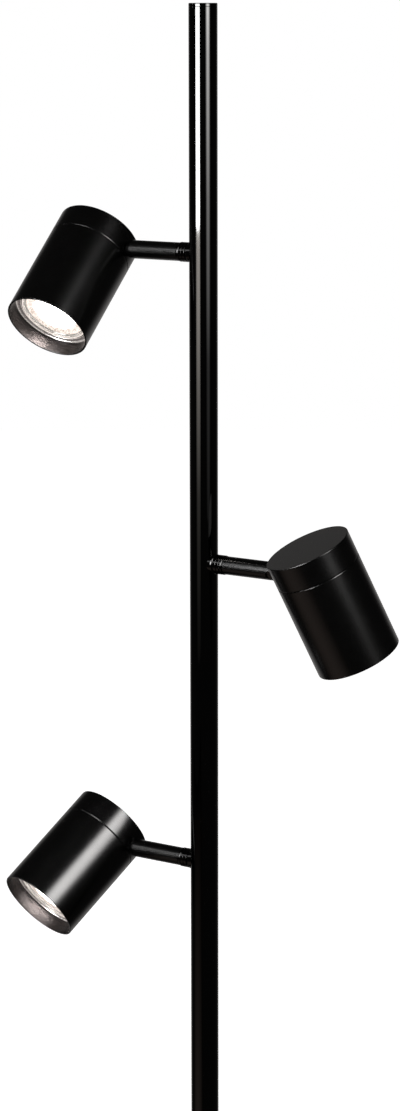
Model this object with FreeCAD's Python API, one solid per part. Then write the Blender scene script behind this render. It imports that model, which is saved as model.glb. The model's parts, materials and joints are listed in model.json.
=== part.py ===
import FreeCAD, Part
import math
import os
from FreeCAD import Vector

# Floor lamp with three swivelling spots on one upright pole, in millimetres.
# The origin is on the floor at the pole's axis, +Z is up and the arms lie in the XZ plane.

# Driving dimensions of the whole lamp
lamp_height = 1550.0
pole_diameter = 20.0
pole_wall = 1.2
pole_split_height = 740.0
first_arm_drop = 171.0
arm_spacing = 219.0
base_diameter = 250.0
base_height = 14.0

# Rest pose of each spot in degrees: side of the pole, turn about the arm, tilt away from the pole
left_side = 180.0
right_side = 0.0
top_swivel = 46.0
top_tilt = -0.6
middle_swivel = 20.5
middle_tilt = 15.8
bottom_swivel = 52.8
bottom_tilt = 11.9

# Clearances and the overrun that every cut shares
fit_gap = 0.05
loose_gap = 0.15
seat_gap = 0.3
overrun = 1.0

# Base
pad_inset = 7.0
pad_thickness = 2.0
cover_wall = 1.2
cover_lift = 1.0
cover_edge_radius = 2.5
weight_edge_radius = 1.5
stem_radius = 5.0
stem_bore_radius = 3.3
stem_reach = 26.0
stem_tail = 0.5
nut_pocket_radius = 15.0
nut_pocket_depth = 7.2
base_nut_width = 17.0
base_nut_height = 5.0
base_washer_radius = 13.0
base_washer_thickness = 1.6
channel_width = 8.0
channel_depth = 7.0
foot_collar_radius = 17.0
foot_collar_height = 8.0
foot_collar_edge = 1.5
foot_plug_height = 30.0

# Cord inlet in the rim of the base
inlet_radius = 4.0
inlet_bore_radius = 3.2
inlet_flange_radius = 5.2
inlet_flange_thickness = 1.5

# Pole fittings
joiner_length = 80.0
joiner_bore_radius = 3.5
cap_head_height = 2.5
cap_plug_height = 14.0
cap_edge_radius = 0.7
cable_radius = 3.0
cable_foot = 1.0
cable_head = 8.0
anchor_height = 24.0
anchor_bore_radius = 3.5

# Swivel at the pole, lengths measured outward along the arm from the pole's face
nipple_radius = 3.0
nipple_bore_radius = 1.8
nipple_tail = 2.15
nipple_hole_gap = 0.2
saddle_radius = 7.2
saddle_rise = 1.4
saddle_edge_radius = 1.4
swivel_base_radius = 6.9
swivel_base_length = 5.2
swivel_neck_radius = 6.2
swivel_neck_length = 0.5
swivel_groove_offset = 2.7
swivel_groove_width = 0.5
swivel_groove_depth = 0.6
friction_washer_radius = 6.0
friction_washer_thickness = 0.4
bead_radius = 6.9
bead_length = 2.2
bead_edge_radius = 0.9
notch_radius = 6.1
notch_length = 0.4
ferrule_plug_length = 6.4
wave_washer_gap = 0.5
wave_washer_thickness = 0.8
lock_nut_corner_gap = 0.3
lock_nut_height = 4.0

# Arm from the pole's face to the tilt pin, with a forked end whose outline is a ball about the pin
arm_radius = 6.5
arm_wall = 1.0
arm_reach = 49.5
fork_block_length = 7.5
fork_plug_length = 10.0
fork_bore_radius = 2.0
slot_gap = 0.15
pocket_gap = 0.3
pin_radius = 2.0
pin_blind_depth = 4.8
pin_head_radius = 3.2
pin_head_seat = 4.4
pin_head_height = 1.0
pin_slot_width = 0.8
pin_slot_depth = 0.5

# Head, measured from the plane of its open rim up to the top of its cap
head_radius = 30.5
head_length = 88.0
head_wall = 1.2
cap_height = 18.0
cap_wall = 1.6
cap_top_thickness = 2.0
cap_top_edge_radius = 0.8
cap_seam = 0.3
cap_spigot_length = 6.0
cap_spigot_wall = 0.8
rim_edge_radius = 0.4
pivot_rise = 5.2

# Tongue that carries the head on the pin
tongue_reach = 6.9
tongue_inset = 0.2
tongue_thickness = 4.0
tongue_neck_inset = 1.5
stud_radius = 4.0
stud_tail = 2.0
stud_nut_width = 12.0
stud_nut_height = 3.5

# Lamp holder, its bracket and the reflector bulb
bulb_recess_share = 0.4427
bulb_clearance = 4.3
bulb_rim_height = 3.2
bulb_rim_lip = 1.7
bulb_wall = 1.0
bulb_waist_height = 31.0
bulb_waist_radius = 13.0
bulb_base_radius = 12.2
bulb_length = 46.0
bulb_belly_radius_share = 0.86
bulb_belly_height = 13.0
lens_recess = 0.6
lens_thickness = 1.6
lens_crown = 0.5
bulb_pin_radius = 1.2
bulb_pin_head_radius = 2.3
bulb_pin_offset = 5.0
bulb_pin_length = 6.0
bulb_pin_head_length = 2.4
holder_radius = 15.5
holder_height = 15.0
holder_edge_radius = 1.2
holder_hole_depth = 7.5
bracket_thickness = 1.2
bracket_width = 12.0
bracket_gap = 1.5
bracket_foot_length = 5.0
ring_gap = 0.85
ring_thickness = 1.5
ring_lead = 0.6

# Sizes worked out from the driving dimensions
pole_radius = pole_diameter / 2
pole_bore_radius = pole_radius - pole_wall
plug_radius = pole_bore_radius - fit_gap
base_radius = base_diameter / 2
weight_top = base_height - cover_wall
pad_radius = base_radius - pad_inset
saddle_end = pole_radius + saddle_rise
swivel_base_end = saddle_end + swivel_base_length
tube_start = swivel_base_end + friction_washer_thickness + bead_length + notch_length
ferrule_end = tube_start + ferrule_plug_length
lock_nut_start = ferrule_end + fit_gap + wave_washer_thickness
nipple_end = lock_nut_start + lock_nut_height + nipple_tail
pivot_reach = pole_radius + arm_reach
fork_start = pivot_reach - fork_block_length
arm_bore_radius = arm_radius - arm_wall
arm_plug_radius = arm_bore_radius - fit_gap
tongue_radius = arm_radius - tongue_inset
tongue_neck_half_height = arm_radius - tongue_neck_inset
pivot_offset = head_radius + tongue_reach
seam_height = head_length - cap_height
pivot_height = seam_height + pivot_rise
head_bore_radius = head_radius - head_wall
cap_bore_radius = head_radius - cap_wall
cap_ceiling = head_length - cap_top_thickness
cap_spigot_bore_radius = head_bore_radius - fit_gap - cap_spigot_wall
stud_nut_face = cap_bore_radius - stud_nut_height
bulb_radius = head_bore_radius - bulb_clearance
bulb_free_length = cap_ceiling - bulb_length - loose_gap - holder_height
bulb_recess = bulb_free_length * bulb_recess_share
bulb_belly_radius = bulb_radius * bulb_belly_radius_share
holder_base = bulb_recess + bulb_length + loose_gap
holder_top = holder_base + holder_height
bracket_leg_offset = holder_radius + bracket_gap

origin = Vector(0, 0, 0)
along_x = Vector(1, 0, 0)
along_y = Vector(0, 1, 0)
along_z = Vector(0, 0, 1)


def rod(radius, start, end):
    """Solid cylinder about the Z axis between two heights."""
    return Part.makeCylinder(radius, end - start, Vector(0, 0, start))


def pipe(outer_radius, inner_radius, start, end):
    """Hollow cylinder about the Z axis between two heights."""
    return rod(outer_radius, start, end).cut(rod(inner_radius, start - overrun, end + overrun))


def turned(outline):
    """Solid of revolution about the Z axis from a closed outline of radius and height pairs."""
    corners = [Vector(radius, 0, height) for radius, height in outline]
    face = Part.Face(Part.makePolygon(corners + corners[:1]))
    return face.revolve(origin, along_z, 360)


def block(x_start, x_end, y_start, y_end, z_start, z_end):
    """Box between two opposite corners."""
    return Part.makeBox(x_end - x_start, y_end - y_start, z_end - z_start, Vector(x_start, y_start, z_start))


def hexagon(width, start, end):
    """Hexagonal prism about the Z axis, as wide across its flats as given."""
    corner_radius = width / math.sqrt(3)
    corners = []
    for turn in range(0, 360, 60):
        angle = math.radians(turn)
        corners.append(Vector(corner_radius * math.cos(angle), corner_radius * math.sin(angle), start))
    face = Part.Face(Part.makePolygon(corners + corners[:1]))
    return face.extrude(Vector(0, 0, end - start))


def round_edge(solid, radius, height, edge_radius):
    """Fillet the circular edge that has the given height and radius."""
    chosen = []
    for edge in solid.Edges:
        if edge.Curve.TypeId != "Part::GeomCircle":
            continue
        level = abs(edge.Curve.Center.z - height) < fit_gap
        if level and abs(edge.Curve.Radius - edge_radius) < fit_gap:
            chosen.append(edge)
    return solid.makeFillet(radius, chosen)


def lay_along_arm(solid):
    """Turn a solid made about the Z axis so that its axis is the arm's axis."""
    solid.rotate(origin, along_y, 90)
    return solid


class Spot:
    """One spot: its name, side of the pole, rest angles and height of its arm."""

    def __init__(self, name, side, swivel, tilt, order):
        self.name = name
        self.side = side
        self.swivel = swivel
        self.tilt = tilt
        self.height = lamp_height - first_arm_drop - order * arm_spacing


spots = [
    Spot("top", left_side, top_swivel, top_tilt, 0),
    Spot("middle", right_side, middle_swivel, middle_tilt, 1),
    Spot("bottom", left_side, bottom_swivel, bottom_tilt, 2),
]


def place_on_pole(solid, spot):
    """Carry a solid from the arm's frame to its side and height on the pole."""
    placed = solid.copy()
    placed.rotate(origin, along_z, spot.side)
    placed.translate(Vector(0, 0, spot.height))
    return placed


def place_arm(solid, spot):
    """Turn a solid about the arm to the rest swivel and carry it to the pole."""
    turned_solid = solid.copy()
    turned_solid.rotate(origin, along_x, spot.swivel)
    return place_on_pole(turned_solid, spot)


def place_head(solid, spot):
    """Tilt a solid of the head about the pin and carry it to the end of its arm."""
    tilted = solid.copy()
    tilted.translate(Vector(pivot_offset, 0, -pivot_height))
    tilted.rotate(origin, along_y, -spot.tilt)
    tilted.translate(Vector(pivot_reach, 0, 0))
    return place_arm(tilted, spot)


# Base pieces
def make_base_pad():
    """Soft disc under the base, which closes the pocket and the channel."""
    return rod(pad_radius, 0, pad_thickness)


def make_base_weight():
    """Heavy disc with a pocket for the nut and a channel for the cord."""
    radius = base_radius - cover_wall - seat_gap
    disc = rod(radius, pad_thickness, weight_top)
    disc = round_edge(disc, weight_edge_radius, weight_top, radius)
    disc = disc.cut(rod(stem_radius + loose_gap, 0, base_height))
    disc = disc.cut(rod(nut_pocket_radius, 0, pad_thickness + nut_pocket_depth))
    half = channel_width / 2
    channel = block(-half, half, 0, base_radius, 0, pad_thickness + channel_depth)
    return disc.cut(channel)


def make_base_cover():
    """Thin lid over the weight, open below, with holes for the stem and the cord inlet."""
    lid = rod(base_radius, cover_lift, base_height)
    lid = round_edge(lid, cover_edge_radius, base_height, base_radius)
    lid = lid.cut(rod(base_radius - cover_wall, 0, weight_top))
    lid = lid.cut(rod(stem_radius + loose_gap, 0, base_height + overrun))
    hole = Part.makeCylinder(inlet_radius + fit_gap, base_radius, Vector(0, 0, inlet_height()), along_y)
    return lid.cut(hole)


def inlet_height():
    """Height of the cord inlet, level with the channel in the weight."""
    return pad_thickness + channel_depth / 2


def make_base_stem():
    """Hollow threaded stem that clamps the base to the pole."""
    return pipe(stem_radius, stem_bore_radius, pad_thickness + stem_tail, base_height + stem_reach)


def make_base_washer():
    """Washer above the nut in the pocket of the weight."""
    top = pad_thickness + nut_pocket_depth
    return pipe(base_washer_radius, stem_radius + loose_gap, top - base_washer_thickness, top)


def make_base_nut():
    """Hexagonal nut on the lower end of the stem."""
    top = pad_thickness + nut_pocket_depth - base_washer_thickness
    nut = hexagon(base_nut_width, top - base_nut_height, top)
    return nut.cut(rod(stem_radius + fit_gap, 0, base_height))


def make_cord_inlet():
    """Bushing in the rim of the base, where the cord goes in."""
    flange_start = base_radius + fit_gap
    neck_start = base_radius - cover_wall - loose_gap
    flange = rod(inlet_flange_radius, flange_start, flange_start + inlet_flange_thickness)
    neck = rod(inlet_radius, neck_start, flange_start)
    bushing = flange.fuse(neck).removeSplitter()
    bushing = round_edge(
        bushing, inlet_flange_thickness / 2, flange_start + inlet_flange_thickness, inlet_flange_radius
    )
    bushing = bushing.cut(rod(inlet_bore_radius, 0, base_radius + base_height))
    bushing.rotate(origin, along_x, -90)
    bushing.translate(Vector(0, 0, inlet_height()))
    return bushing


def make_foot_collar():
    """Turned collar that hides the joint of pole and base."""
    top = base_height + foot_collar_height
    collar = pipe(foot_collar_radius, pole_radius + loose_gap, base_height, top)
    return round_edge(collar, foot_collar_edge, top, foot_collar_radius)


# Pole pieces
def make_foot_plug():
    """Threaded plug in the lower end of the pole."""
    return pipe(plug_radius, stem_radius + fit_gap, base_height, base_height + foot_plug_height)


def make_pole_tube(start, end):
    """Length of the pole with a hole in its wall for each arm that it carries."""
    tube = pipe(pole_radius, pole_bore_radius, start, end)
    for spot in spots:
        hole = lay_along_arm(rod(nipple_radius + nipple_hole_gap, 0, pole_radius + overrun))
        tube = tube.cut(place_on_pole(hole, spot))
    return tube


def make_pole_lower():
    """Lower tube of the pole."""
    return make_pole_tube(base_height, pole_split_height)


def make_pole_joiner():
    """Spigot inside the pole where its two tubes meet."""
    half = joiner_length / 2
    return pipe(plug_radius, joiner_bore_radius, pole_split_height - half, pole_split_height + half)


def make_pole_upper():
    """Upper tube of the pole."""
    return make_pole_tube(pole_split_height, lamp_height - cap_head_height)


def make_pole_cap():
    """Plug that closes the top of the pole, with a lid as wide as the pole."""
    lid_base = lamp_height - cap_head_height
    lid = rod(pole_radius, lid_base, lamp_height)
    lid = round_edge(lid, cap_edge_radius, lamp_height, pole_radius)
    return lid.fuse(rod(plug_radius, lid_base - cap_plug_height, lid_base))


def make_pole_cable():
    """Cable that runs up the pole from the stem to the top arm."""
    return rod(cable_radius, pad_thickness + stem_tail + cable_foot, spots[0].height + cable_head)


def make_arm_anchors():
    """Slugs inside the pole, one behind each arm, with a threaded side hole."""
    half = anchor_height / 2
    slug = pipe(plug_radius, anchor_bore_radius, -half, half)
    slug = slug.cut(lay_along_arm(rod(nipple_radius + fit_gap, 0, pole_radius)))
    return Part.makeCompound([place_on_pole(slug, spot) for spot in spots])


# Fixed pieces of the swivels
def make_arm_saddles():
    """Rounded rings that sit on the pole's curved face, hollowed to fit it."""
    ring = rod(saddle_radius, 0, saddle_end)
    ring = round_edge(ring, saddle_edge_radius, saddle_end, saddle_radius)
    ring = ring.cut(rod(nipple_radius + loose_gap, 0, saddle_end + overrun))
    ring = lay_along_arm(ring)
    ring = ring.cut(rod(pole_radius + fit_gap, -pole_diameter, pole_diameter))
    return Part.makeCompound([place_on_pole(ring, spot) for spot in spots])


def make_swivel_bases():
    """Turned collars with a neck and a groove between two bands."""
    neck_end = saddle_end + swivel_neck_length
    groove_start = saddle_end + swivel_groove_offset
    groove_end = groove_start + swivel_groove_width
    groove_radius = swivel_base_radius - swivel_groove_depth
    collar = rod(swivel_neck_radius, saddle_end, neck_end)
    collar = collar.fuse(rod(swivel_base_radius, neck_end, groove_start))
    collar = collar.fuse(rod(groove_radius, groove_start, groove_end))
    collar = collar.fuse(rod(swivel_base_radius, groove_end, swivel_base_end))
    collar = collar.cut(rod(nipple_radius + loose_gap, 0, swivel_base_end + overrun))
    collar = lay_along_arm(collar)
    return Part.makeCompound([place_on_pole(collar, spot) for spot in spots])


def make_arm_nipples():
    """Hollow threaded spindles that carry the arms and pass the wires."""
    spindle = lay_along_arm(pipe(nipple_radius, nipple_bore_radius, cable_radius + seat_gap, nipple_end))
    return Part.makeCompound([place_on_pole(spindle, spot) for spot in spots])


def make_friction_washers():
    """Thin washers between each fixed collar and its turning ferrule."""
    end = swivel_base_end + friction_washer_thickness - fit_gap
    washer = lay_along_arm(pipe(friction_washer_radius, nipple_radius + loose_gap, swivel_base_end, end))
    return Part.makeCompound([place_on_pole(washer, spot) for spot in spots])


def make_wave_washers():
    """Spring washers that load the swivels, inside the arm tubes."""
    start = ferrule_end + fit_gap
    radius = arm_bore_radius - wave_washer_gap
    washer = pipe(radius, nipple_radius + fit_gap, start, start + wave_washer_thickness)
    return Part.makeCompound([place_on_pole(lay_along_arm(washer.copy()), spot) for spot in spots])


def make_lock_nuts():
    """Nuts on the ends of the spindles, inside the arm tubes."""
    width = math.sqrt(3) * (arm_bore_radius - lock_nut_corner_gap)
    nut = hexagon(width, lock_nut_start, lock_nut_start + lock_nut_height)
    nut = nut.cut(rod(nipple_radius + fit_gap, 0, nipple_end))
    return Part.makeCompound([place_on_pole(lay_along_arm(nut.copy()), spot) for spot in spots])


# Turning pieces of an arm
def make_arm_ferrule():
    """Turned end of the arm: a bead that shows, a notch and a plug inside the tube."""
    start = swivel_base_end + friction_washer_thickness
    bead_end = start + bead_length
    bead = rod(bead_radius, start, bead_end)
    bead = round_edge(bead, bead_edge_radius, bead_end, bead_radius)
    bead = round_edge(bead, bead_edge_radius, start, bead_radius)
    ferrule = bead.fuse(rod(notch_radius, bead_end, tube_start))
    ferrule = ferrule.fuse(rod(arm_plug_radius, tube_start, ferrule_end))
    return lay_along_arm(ferrule.cut(rod(nipple_radius + fit_gap, 0, nipple_end)))


def make_arm_tube():
    """Round tube of the arm."""
    return lay_along_arm(pipe(arm_radius, arm_bore_radius, tube_start, fork_start))


def make_arm_fork():
    """Ball end of the arm, slotted for the tongue and drilled for the pin."""
    plug = rod(arm_plug_radius, fork_start - fork_plug_length, fork_start)
    end = rod(arm_radius, fork_start, pivot_reach)
    ball = Part.makeSphere(arm_radius, Vector(0, 0, pivot_reach))
    fork = lay_along_arm(plug.fuse(end).fuse(ball).removeSplitter())
    half_slot = tongue_thickness / 2 + slot_gap
    pocket_radius = arm_radius + pocket_gap
    pocket = Part.makeCylinder(pocket_radius, 2 * half_slot, Vector(pivot_reach, -half_slot, 0), along_y)
    mouth_reach = pivot_reach + pocket_radius
    mouth = block(pivot_reach, mouth_reach, -half_slot, half_slot, -pocket_radius, pocket_radius)
    relief_back = pivot_reach - tongue_neck_half_height - pocket_gap
    relief = block(relief_back, pivot_reach, -half_slot, half_slot, 0, pocket_radius)
    fork = fork.cut(pocket).cut(mouth).cut(relief)
    fork = fork.cut(lay_along_arm(rod(fork_bore_radius, 0, pivot_reach)))
    pin_hole = Part.makeCylinder(
        pin_radius + fit_gap, pin_blind_depth + arm_radius, Vector(pivot_reach, -arm_radius, 0), along_y
    )
    head_hole = Part.makeCylinder(
        pin_head_radius + loose_gap, arm_radius, Vector(pivot_reach, -pin_head_seat - arm_radius, 0), along_y
    )
    return fork.cut(pin_hole).cut(head_hole)


def make_tilt_pin():
    """Slotted screw through fork and tongue, the axis of the tilt."""
    head_top = pin_head_seat + pin_head_height
    shank = Part.makeCylinder(pin_radius, pin_blind_depth + pin_head_seat, Vector(0, -pin_head_seat, 0), along_y)
    head = Part.makeCylinder(pin_head_radius, pin_head_height, Vector(0, -head_top, 0), along_y)
    half_slot = pin_slot_width / 2
    slot = block(
        -pin_head_radius, pin_head_radius, -head_top, pin_slot_depth - head_top, -half_slot, half_slot
    )
    pin = shank.fuse(head).removeSplitter().cut(slot)
    pin.translate(Vector(pivot_reach, 0, 0))
    return pin


# Pieces of a head, with the rim at height zero and the pole on the side of minus X
def make_head_body():
    """Open tube of the head."""
    tube = pipe(head_radius, head_bore_radius, 0, seam_height - cap_seam)
    tube = round_edge(tube, rim_edge_radius, 0, head_radius)
    return round_edge(tube, rim_edge_radius, 0, head_bore_radius)


def make_head_cap():
    """Rear cap with a spigot inside the tube and a side hole for the tongue's stud."""
    cap = rod(head_radius, seam_height, head_length)
    cap = round_edge(cap, cap_top_edge_radius, head_length, head_radius)
    cap = cap.cut(rod(cap_bore_radius, seam_height - overrun, cap_ceiling))
    spigot_radius = head_bore_radius - fit_gap
    spigot = pipe(spigot_radius, cap_spigot_bore_radius, seam_height - cap_spigot_length, seam_height)
    shoulder = pipe(head_radius - cap_wall / 2, cap_spigot_bore_radius, seam_height, seam_height + cap_wall)
    cap = cap.fuse(spigot).fuse(shoulder).removeSplitter()
    hole = Part.makeCylinder(
        stud_radius + loose_gap, head_radius, Vector(-head_radius - overrun, 0, pivot_height), along_x
    )
    return cap.cut(hole)


def make_head_tongue():
    """Flat round eye on the pin, with a neck and a threaded stud through the cap's wall."""
    half = tongue_thickness / 2
    half_neck = tongue_neck_half_height
    eye = Part.makeCylinder(
        tongue_radius, tongue_thickness, Vector(-pivot_offset, -half, pivot_height), along_y
    )
    shoulder = -head_radius - fit_gap
    neck = block(-pivot_offset, shoulder, -half, half, pivot_height - half_neck, pivot_height + half_neck)
    stud_start = -head_radius - seat_gap
    stud_end = stud_tail - stud_nut_face
    stud = Part.makeCylinder(stud_radius, stud_end - stud_start, Vector(stud_start, 0, pivot_height), along_x)
    tongue = eye.fuse(neck).fuse(stud).removeSplitter()
    pin_hole = Part.makeCylinder(
        pin_radius + fit_gap, arm_radius, Vector(-pivot_offset, -half - overrun, pivot_height), along_y
    )
    return tongue.cut(pin_hole)


def make_stud_nut():
    """Nut that clamps the tongue from inside the cap, its seat curved as the wall is."""
    nut = hexagon(stud_nut_width, stud_nut_face, head_radius)
    nut = nut.cut(rod(stud_radius + fit_gap, 0, head_radius + overrun))
    nut.rotate(origin, along_y, -90)
    nut.translate(Vector(0, 0, pivot_height))
    return nut.common(rod(cap_spigot_bore_radius - loose_gap, 0, head_length))


def make_lamp_holder():
    """Ceramic holder with two keyhole sockets for the pins of the bulb."""
    holder = rod(holder_radius, holder_base, holder_top)
    holder = round_edge(holder, holder_edge_radius, holder_base, holder_radius)
    for side in (-1, 1):
        centre = Vector(side * bulb_pin_offset, 0, holder_base - overrun)
        socket_radius = bulb_pin_head_radius + seat_gap
        holder = holder.cut(Part.makeCylinder(socket_radius, holder_hole_depth + overrun, centre))
    return holder


def make_holder_bracket():
    """Bent strap that hangs the lamp holder from the top of the cap."""
    half_width = bracket_width / 2
    leg_outside = bracket_leg_offset + bracket_thickness
    floor_top = holder_top + bracket_thickness
    strap = block(-half_width, half_width, -leg_outside, leg_outside, holder_top, floor_top)
    for side in (-1, 1):
        inner = side * bracket_leg_offset
        outer = side * leg_outside
        foot_end = side * (leg_outside + bracket_foot_length)
        leg = block(
            -half_width, half_width, min(inner, outer), max(inner, outer), holder_top, cap_ceiling
        )
        foot = block(
            -half_width, half_width, min(inner, foot_end), max(inner, foot_end),
            cap_ceiling - bracket_thickness, cap_ceiling,
        )
        strap = strap.fuse(leg).fuse(foot)
    return strap.removeSplitter()


def make_bulb():
    """Reflector bulb: a hollow flared shell with a solid base and two headed pins."""
    front = bulb_recess
    rim_end = front + bulb_rim_height
    belly = front + bulb_belly_height
    waist = front + bulb_waist_height
    back = front + bulb_length
    lens_seat = front + lens_recess + lens_thickness
    lens_radius = bulb_radius - bulb_rim_lip
    outline = [
        (0, back),
        (bulb_base_radius, back),
        (bulb_base_radius, waist),
        (bulb_waist_radius, waist),
        (bulb_belly_radius, belly),
        (bulb_radius, rim_end),
        (bulb_radius, front),
        (lens_radius, front),
        (lens_radius, lens_seat),
        (lens_radius - bulb_wall, lens_seat),
        (bulb_belly_radius - bulb_wall, belly),
        (bulb_waist_radius - bulb_wall, waist),
        (0, waist),
    ]
    shell = turned(outline)
    for side in (-1, 1):
        centre = Vector(side * bulb_pin_offset, 0, back)
        pin_end = Vector(side * bulb_pin_offset, 0, back + bulb_pin_length - bulb_pin_head_length)
        shell = shell.fuse(Part.makeCylinder(bulb_pin_radius, bulb_pin_length, centre))
        shell = shell.fuse(Part.makeCylinder(bulb_pin_head_radius, bulb_pin_head_length, pin_end))
    return shell.removeSplitter()


def make_bulb_lens():
    """Front glass of the bulb, slightly crowned."""
    radius = bulb_radius - bulb_rim_lip - fit_gap
    face = bulb_recess + lens_recess
    disc = rod(radius, face, face + lens_thickness)
    crown_radius = (radius * radius + lens_crown * lens_crown) / (2 * lens_crown)
    crown = Part.makeSphere(crown_radius, Vector(0, 0, face - lens_crown + crown_radius))
    return disc.common(crown)


def make_bulb_ring():
    """Ring around the rim of the bulb that centres it in the tube."""
    outer = head_bore_radius - fit_gap
    start = bulb_recess - ring_lead
    return pipe(outer, bulb_radius + ring_gap, start, start + ring_thickness)


root_makers = {
    "base_pad": make_base_pad,
    "base_weight": make_base_weight,
    "base_cover": make_base_cover,
    "base_stem": make_base_stem,
    "base_washer": make_base_washer,
    "base_nut": make_base_nut,
    "cord_inlet": make_cord_inlet,
    "foot_collar": make_foot_collar,
    "foot_plug": make_foot_plug,
    "pole_lower": make_pole_lower,
    "pole_joiner": make_pole_joiner,
    "pole_upper": make_pole_upper,
    "pole_cap": make_pole_cap,
    "pole_cable": make_pole_cable,
    "arm_anchors": make_arm_anchors,
    "arm_saddles": make_arm_saddles,
    "swivel_bases": make_swivel_bases,
    "arm_nipples": make_arm_nipples,
    "friction_washers": make_friction_washers,
    "wave_washers": make_wave_washers,
    "lock_nuts": make_lock_nuts,
}

arm_makers = {
    "arm_ferrule": make_arm_ferrule,
    "arm_tube": make_arm_tube,
    "arm_fork": make_arm_fork,
    "tilt_pin": make_tilt_pin,
}

head_makers = {
    "head_body": make_head_body,
    "head_cap": make_head_cap,
    "head_tongue": make_head_tongue,
    "stud_nut": make_stud_nut,
    "lamp_holder": make_lamp_holder,
    "holder_bracket": make_holder_bracket,
    "bulb": make_bulb,
    "bulb_lens": make_bulb_lens,
    "bulb_ring": make_bulb_ring,
}


def main():
    """Make every piece and write one file for each."""
    os.makedirs("parts", exist_ok=True)
    pieces = {name: make() for name, make in root_makers.items()}
    for spot in spots:
        for name, make in arm_makers.items():
            pieces[f"{name}_{spot.name}"] = place_arm(make(), spot)
        for name, make in head_makers.items():
            pieces[f"{name}_{spot.name}"] = place_head(make(), spot)
    for name, shape in pieces.items():
        shape.exportStep(f"parts/{name}.step")
    print(len(pieces), "pieces written")


main()
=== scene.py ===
import json
import math

import bpy
from mathutils import Matrix, Vector


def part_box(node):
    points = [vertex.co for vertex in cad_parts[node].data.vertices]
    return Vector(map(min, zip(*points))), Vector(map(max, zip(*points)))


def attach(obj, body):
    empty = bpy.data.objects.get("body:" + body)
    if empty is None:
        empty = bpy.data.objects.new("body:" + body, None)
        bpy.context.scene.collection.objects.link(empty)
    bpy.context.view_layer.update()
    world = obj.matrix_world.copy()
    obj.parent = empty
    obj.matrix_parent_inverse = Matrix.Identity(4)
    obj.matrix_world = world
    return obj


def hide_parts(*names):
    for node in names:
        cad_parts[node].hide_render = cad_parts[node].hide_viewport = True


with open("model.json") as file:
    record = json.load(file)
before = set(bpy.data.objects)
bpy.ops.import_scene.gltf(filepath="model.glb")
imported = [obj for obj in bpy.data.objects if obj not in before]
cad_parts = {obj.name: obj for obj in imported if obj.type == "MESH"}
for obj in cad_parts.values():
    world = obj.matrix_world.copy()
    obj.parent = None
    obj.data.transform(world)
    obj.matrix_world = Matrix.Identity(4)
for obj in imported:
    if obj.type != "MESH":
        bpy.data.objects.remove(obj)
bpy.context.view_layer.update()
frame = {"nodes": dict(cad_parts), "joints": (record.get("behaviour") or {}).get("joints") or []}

# Floor lamp with three spots, in metres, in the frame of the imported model.
spot_names = ("top", "middle", "bottom")

# Roundness of turned pieces, as the number of flat sides of a full turn
base_sides = 288
head_sides = 224
pole_sides = 128
arm_sides = 112
small_sides = 64
corner_steps = 6

# A gap too small to see, and the shortest straight run that an outline keeps
hairline = 0.00001
shortest_run = 0.000001

# Edges and gaps too fine for the construction, which catch the light
fine_edge = 0.00015
band_edge = 0.0002
seam_edge = 0.00008
seam_shoulder_length = 0.0003
seam_shoulder_depth = 0.00011
seam_shoulder_edge = 0.0006
pole_seam_edge = 0.0003
pad_edge = 0.0005
cover_foot_edge = 0.0004
collar_foot_edge = 0.0003

# Edges that the construction rounds
cover_edge = 0.0025
foot_collar_edge = 0.0015
pole_cap_edge = 0.0007
saddle_edge = 0.0014
bead_edge = 0.0009
rim_edge = 0.00028
cap_top_edge = 0.00045
inlet_edge = 0.0007

# The stops of a tilt lie this far towards the pole from square to the arm, in degrees
tilt_inward_stop = 30.0

# Turned grooves of the collar and arm
collar_neck = 0.0062
neck_length = 0.0005
groove_start = 0.0027
groove_end = 0.0032
groove_radius = 0.0063
notch_radius = 0.0061
notch_length = 0.0004

# Cord inlet
inlet_neck = 0.004
inlet_flange_length = 0.0015
inlet_hole_play = 0.00005
inlet_mouth_edge = 0.0004

# Rear cap of a head
seam_gap = 0.00042
spigot_wall = 0.0008
lid_wall = 0.0016
lid_top = 0.002

# Bulb, its front glass and the ring round it
bulb_length = 0.046
bulb_waist = 0.031
rim_height = 0.0032
rim_fade_share = 1.25
flank_slope_share = 0.22
flank_curve_share = 0.26
glass_wall = 0.001
rolled_edge = 0.0006
pin_offset = 0.005
pin_radius = 0.0012
pin_head_radius = 0.0023
pin_head_length = 0.0024
lens_rings = 40
lens_sides = 160
lens_crown = 0.0004
lens_border = 0.0009
pebble_pitch = 0.0026
pebble_depth = 0.0002
pebble_headings = (0, 60, 120)
sharp_angle = 40.0
ring_bead_radius = 0.00062
ring_recess_inner = 0.0008
ring_recess_outer = 0.0005
bowl_wall = 0.0005
bowl_play = 0.0001
bowl_rows = 9
bowl_columns = 30
capsule_radius = 0.005
capsule_tip_share = 0.9
capsule_length = 0.027
capsule_bright_length = 0.004
capsule_fade_length = 0.0035
core_radius = 0.0105
core_fade_radius = 0.0165
core_raggedness = 0.0015

# How brightly the lit bulb shows, in units of white, and how brightly the ring round it glows with painted
# light
capsule_radiance = 38.0
core_radiance = 4.8
bowl_radiance = 1.2
rim_radiance = 1.0
# Painted light: the ring is no lamp, and its glow stands for the bulb's light falling on it
ring_painted_glow = 0.55


def joint_named(name):
    """The record's joint of that name."""
    return next(joint for joint in frame["joints"] if joint["name"] == name)


def place_at(origin, across, along):
    """Place whose Z axis runs along one direction and whose X axis lies across it."""
    sideways = along.cross(across)
    turn = Matrix((across, sideways, along)).transposed()
    return Matrix.Translation(origin) @ turn.to_4x4()


class Reach:
    """How far a CAD node reaches about and along the Z axis of a place."""

    def __init__(self, node, place, within=math.inf):
        to_place = place.inverted()
        points = [to_place @ vertex.co for vertex in frame["nodes"][node].data.vertices]
        near = [point for point in points if math.hypot(point.x, point.y) < within]
        radii = [math.hypot(point.x, point.y) for point in near]
        self.radius = max(radii)
        self.bore = min(radii)
        self.low = min(point.z for point in near)
        self.high = max(point.z for point in near)


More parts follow.
